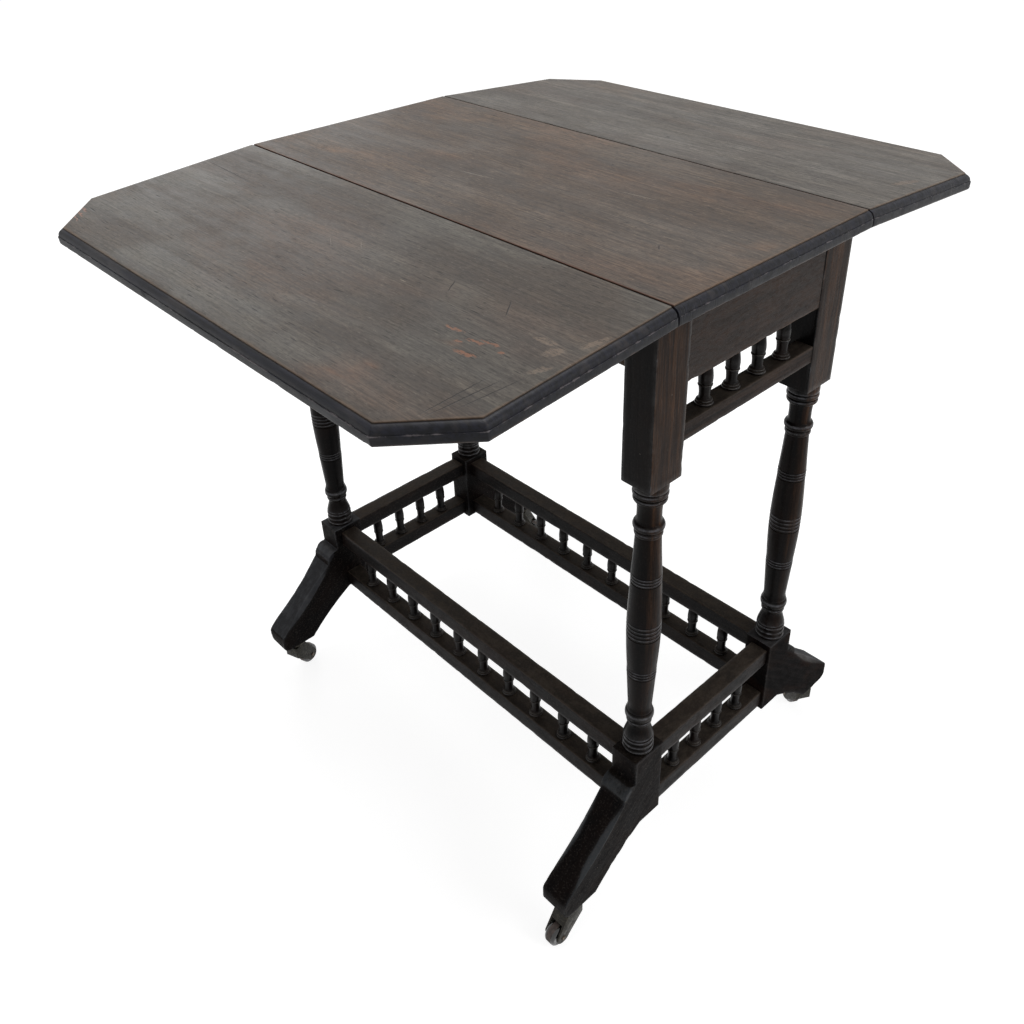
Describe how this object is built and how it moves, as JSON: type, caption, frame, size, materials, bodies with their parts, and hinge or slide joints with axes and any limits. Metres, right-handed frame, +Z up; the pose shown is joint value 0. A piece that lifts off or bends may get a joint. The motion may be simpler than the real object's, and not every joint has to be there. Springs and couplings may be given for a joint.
{
  "type": "butterfly folding table",
  "caption": "Dark drop-leaf occasional table with canted moulded leaves, turned legs, spindle galleries and splayed feet on swivel castors.",
  "frame": {"origin": "on the floor, straight under the middle of the fixed top", "axes": "+Z up, +X to the right along the leaf seams, +Y to the back, across the seams"},
  "size_m": [0.579, 0.722, 0.694],
  "materials": {
    "top_wood": "worn dull polish over dark stain",
    "ebonised_wood": "ebonised, semi-gloss, rubbed on the edges",
    "secondary_wood": "dark stain, dry and unpolished",
    "hinge_iron": "aged dark iron",
    "castor_metal": "dull olive grey, oxidised",
    "castor_wheel": "glossy black with a dusty tread"
  },
  "bodies": {
    "frame": {"leg_front_left": "ebonised_wood", "foot_front_left": "ebonised_wood", "leg_front_right": "ebonised_wood", "foot_front_right": "ebonised_wood", "leg_back_left": "ebonised_wood", "foot_back_left": "ebonised_wood", "leg_back_right": "ebonised_wood", "foot_back_right": "ebonised_wood", "top_board": "top_wood", "end_apron_left": "ebonised_wood", "upper_rail_left": "ebonised_wood", "upper_spindles_left": "ebonised_wood", "end_apron_right": "ebonised_wood", "upper_rail_right": "ebonised_wood", "upper_spindles_right": "ebonised_wood", "long_apron_front": "secondary_wood", "long_apron_back": "secondary_wood", "lower_top_rail_front": "ebonised_wood", "lower_bottom_rail_front": "ebonised_wood", "lower_spindles_front": "ebonised_wood", "lower_top_rail_back": "ebonised_wood", "lower_bottom_rail_back": "ebonised_wood", "lower_spindles_back": "ebonised_wood", "lower_top_rail_left": "ebonised_wood", "lower_bottom_rail_left": "ebonised_wood", "lower_spindles_left": "ebonised_wood", "lower_top_rail_right": "ebonised_wood", "lower_bottom_rail_right": "ebonised_wood", "lower_spindles_right": "ebonised_wood", "stay_brackets": "hinge_iron", "stay_bracket_screws": "hinge_iron", "stay_pins": "hinge_iron", "hinge_flaps_top": "hinge_iron", "hinge_pins": "hinge_iron", "hinge_screws_top": "hinge_iron", "castor_plates": "castor_metal", "castor_screws": "castor_metal"},
    "front_leaf": {"leaf_front": "top_wood", "hinge_flaps_front": "hinge_iron", "hinge_screws_leaf_front": "hinge_iron"},
    "back_leaf": {"leaf_back": "top_wood", "hinge_flaps_back": "hinge_iron", "hinge_screws_leaf_back": "hinge_iron"},
    "prop_front_left": {"stay_front_left": "secondary_wood"},
    "prop_front_right": {"stay_front_right": "secondary_wood"},
    "prop_back_left": {"stay_back_left": "secondary_wood"},
    "prop_back_right": {"stay_back_right": "secondary_wood"},
    "fork_front_left": {"castor_fork_front_left": "castor_metal", "castor_axle_front_left": "castor_metal"},
    "wheel_front_left": {"castor_wheel_front_left": "castor_wheel"},
    "fork_front_right": {"castor_fork_front_right": "castor_metal", "castor_axle_front_right": "castor_metal"},
    "wheel_front_right": {"castor_wheel_front_right": "castor_wheel"},
    "fork_back_left": {"castor_fork_back_left": "castor_metal", "castor_axle_back_left": "castor_metal"},
    "wheel_back_left": {"castor_wheel_back_left": "castor_wheel"},
    "fork_back_right": {"castor_fork_back_right": "castor_metal", "castor_axle_back_right": "castor_metal"},
    "wheel_back_right": {"castor_wheel_back_right": "castor_wheel"}
  },
  "joints": [
    {"name": "front_leaf_hinge", "type": "hinge", "parent": "frame", "child": "front_leaf", "pos_m": [0, -0.1291, 0.674], "axis": [1, 0, 0], "range_deg": [0, 86.1]},
    {"name": "back_leaf_hinge", "type": "hinge", "parent": "frame", "child": "back_leaf", "pos_m": [0, 0.1291, 0.674], "axis": [-1, 0, 0], "range_deg": [0, 86.1]},
    {"name": "prop_front_left_pivot", "type": "hinge", "parent": "frame", "child": "prop_front_left", "pos_m": [-0.14, -0.1166, 0.635], "axis": [1, 0, 0], "range_deg": [0, 115]},
    {"name": "prop_front_right_pivot", "type": "hinge", "parent": "frame", "child": "prop_front_right", "pos_m": [0.14, -0.1166, 0.635], "axis": [1, 0, 0], "range_deg": [0, 115]},
    {"name": "prop_back_left_pivot", "type": "hinge", "parent": "frame", "child": "prop_back_left", "pos_m": [-0.14, 0.1166, 0.635], "axis": [-1, 0, 0], "range_deg": [0, 115]},
    {"name": "prop_back_right_pivot", "type": "hinge", "parent": "frame", "child": "prop_back_right", "pos_m": [0.14, 0.1166, 0.635], "axis": [-1, 0, 0], "range_deg": [0, 115]},
    {"name": "castor_front_left_swivel", "type": "hinge", "parent": "frame", "child": "fork_front_left", "pos_m": [-0.2565, -0.2067, 0.0522], "axis": [0, 0, 1], "continuous": true},
    {"name": "castor_front_left_roll", "type": "hinge", "parent": "fork_front_left", "child": "wheel_front_left", "pos_m": [-0.26269, -0.18874, 0.013], "axis": [-0.9455, -0.3256, 0], "continuous": true},
    {"name": "castor_front_right_swivel", "type": "hinge", "parent": "frame", "child": "fork_front_right", "pos_m": [0.2565, -0.2067, 0.0522], "axis": [0, 0, 1], "continuous": true},
    {"name": "castor_front_right_roll", "type": "hinge", "parent": "fork_front_right", "child": "wheel_front_right", "pos_m": [0.2565, -0.2257, 0.013], "axis": [1, 0, 0], "continuous": true},
    {"name": "castor_back_left_swivel", "type": "hinge", "parent": "frame", "child": "fork_back_left", "pos_m": [-0.2565, 0.2067, 0.0522], "axis": [0, 0, 1], "continuous": true},
    {"name": "castor_back_left_roll", "type": "hinge", "parent": "fork_back_left", "child": "wheel_back_left", "pos_m": [-0.24005, 0.2162, 0.013], "axis": [-0.5, 0.866, 0], "continuous": true},
    {"name": "castor_back_right_swivel", "type": "hinge", "parent": "frame", "child": "fork_back_right", "pos_m": [0.2565, 0.2067, 0.0522], "axis": [0, 0, 1], "continuous": true},
    {"name": "castor_back_right_roll", "type": "hinge", "parent": "fork_back_right", "child": "wheel_back_right", "pos_m": [0.24005, 0.2162, 0.013], "axis": [-0.5, -0.866, 0], "continuous": true}
  ],
  "couplings": [
    {"joint": "prop_front_left_pivot", "follows": "front_leaf_hinge", "ratio": 1.3357},
    {"joint": "prop_front_right_pivot", "follows": "front_leaf_hinge", "ratio": 1.3357},
    {"joint": "prop_back_left_pivot", "follows": "back_leaf_hinge", "ratio": 1.3357},
    {"joint": "prop_back_right_pivot", "follows": "back_leaf_hinge", "ratio": 1.3357}
  ]
}
